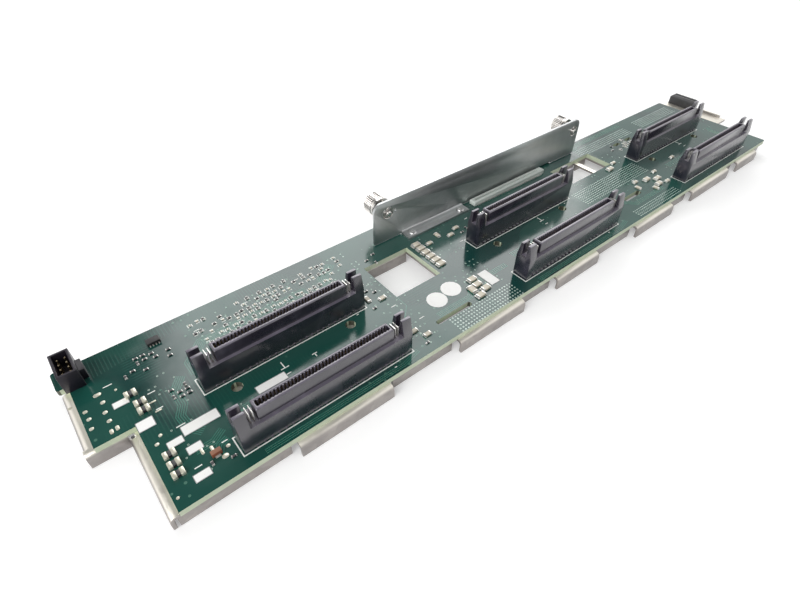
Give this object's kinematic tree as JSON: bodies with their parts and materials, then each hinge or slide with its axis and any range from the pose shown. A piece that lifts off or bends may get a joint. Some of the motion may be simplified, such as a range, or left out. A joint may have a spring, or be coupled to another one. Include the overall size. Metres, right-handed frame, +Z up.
{
  "type": "drive backplane board",
  "caption": "Long circuit board on a folded steel stiffener with two rows of upright drive receptacles and a hold-down bracket with captive thumbscrews",
  "frame": {"origin": "bottom centre of the whole object's bounding box, on the plane of the stiffener's flange edges", "axes": "+X along the board's length, +Y from its tabbed front edge towards the bracket, +Z up out of the component side"},
  "size_m": [0.4068, 0.079, 0.0295],
  "materials": {
    "circuit_board": "glass-epoxy laminate under dark blue-green solder mask, satin gloss",
    "galvanised_steel": "zinc plated sheet with a yellow-cream cast",
    "bracket_steel": "bright zinc plated sheet, half mirror",
    "black_plastic": "moulded glass-filled thermoplastic, fine satin",
    "ivory_plastic": "moulded high-temperature thermoplastic",
    "contact_metal": "gold over nickel plated copper alloy",
    "nickel_plate": "bright nickel plate, turned and knurled",
    "spring_steel": "drawn stainless spring steel",
    "rivet_metal": "bright formed head",
    "ceramic_body": "pale ceramic body with tinned ends",
    "capacitor_body": "moulded reddish-brown resin",
    "chip_body": "black moulded epoxy",
    "paper_dot": "plain white self-adhesive paper"
  },
  "bodies": {
    "backplane": {"board": "circuit_board", "stiffener": "galvanised_steel", "bracket": "bracket_steel", "ground_blades": "contact_metal", "power_connector": "black_plastic", "power_pins": "contact_metal", "daughter_card_socket": "ivory_plastic", "guide_block": "black_plastic", "board_rivets": "rivet_metal", "foot_rivets": "rivet_metal", "fuses": "ceramic_body", "tantalum_capacitor": "capacitor_body", "logic_chip": "chip_body", "inspection_dots": "paper_dot", "receptacle_a1": "black_plastic", "contacts_a1": "contact_metal", "receptacle_a2": "black_plastic", "contacts_a2": "contact_metal", "receptacle_a3": "black_plastic", "contacts_a3": "contact_metal", "receptacle_b1": "black_plastic", "contacts_b1": "contact_metal", "receptacle_b2": "black_plastic", "contacts_b2": "contact_metal", "receptacle_b3": "black_plastic", "contacts_b3": "contact_metal", "ferrule_left": "nickel_plate", "spring_left": "spring_steel", "ferrule_right": "nickel_plate", "spring_right": "spring_steel"},
    "ring_left": {"retaining_ring_left": "spring_steel"},
    "screw_left": {"thumbscrew_left": "nickel_plate"},
    "ring_right": {"retaining_ring_right": "spring_steel"},
    "screw_right": {"thumbscrew_right": "nickel_plate"}
  },
  "joints": [
    {"name": "left_screw_slide", "type": "slide", "parent": "backplane", "child": "ring_left", "axis": [0, -1, 0], "range_m": [0, 0.0034], "stiffness_N_per_m": 500, "springref_m": -0.002, "deforming": ["spring_left"]},
    {"name": "left_screw_turn", "type": "hinge", "parent": "ring_left", "child": "screw_left", "pos_m": [-0.0614, 0.0272, 0.0232], "axis": [0, 1, 0], "continuous": true},
    {"name": "right_screw_slide", "type": "slide", "parent": "backplane", "child": "ring_right", "axis": [0, -1, 0], "range_m": [0, 0.0034], "stiffness_N_per_m": 500, "springref_m": -0.002, "deforming": ["spring_right"]},
    {"name": "right_screw_turn", "type": "hinge", "parent": "ring_right", "child": "screw_right", "pos_m": [0.0722, 0.0272, 0.0232], "axis": [0, 1, 0], "continuous": true}
  ]
}
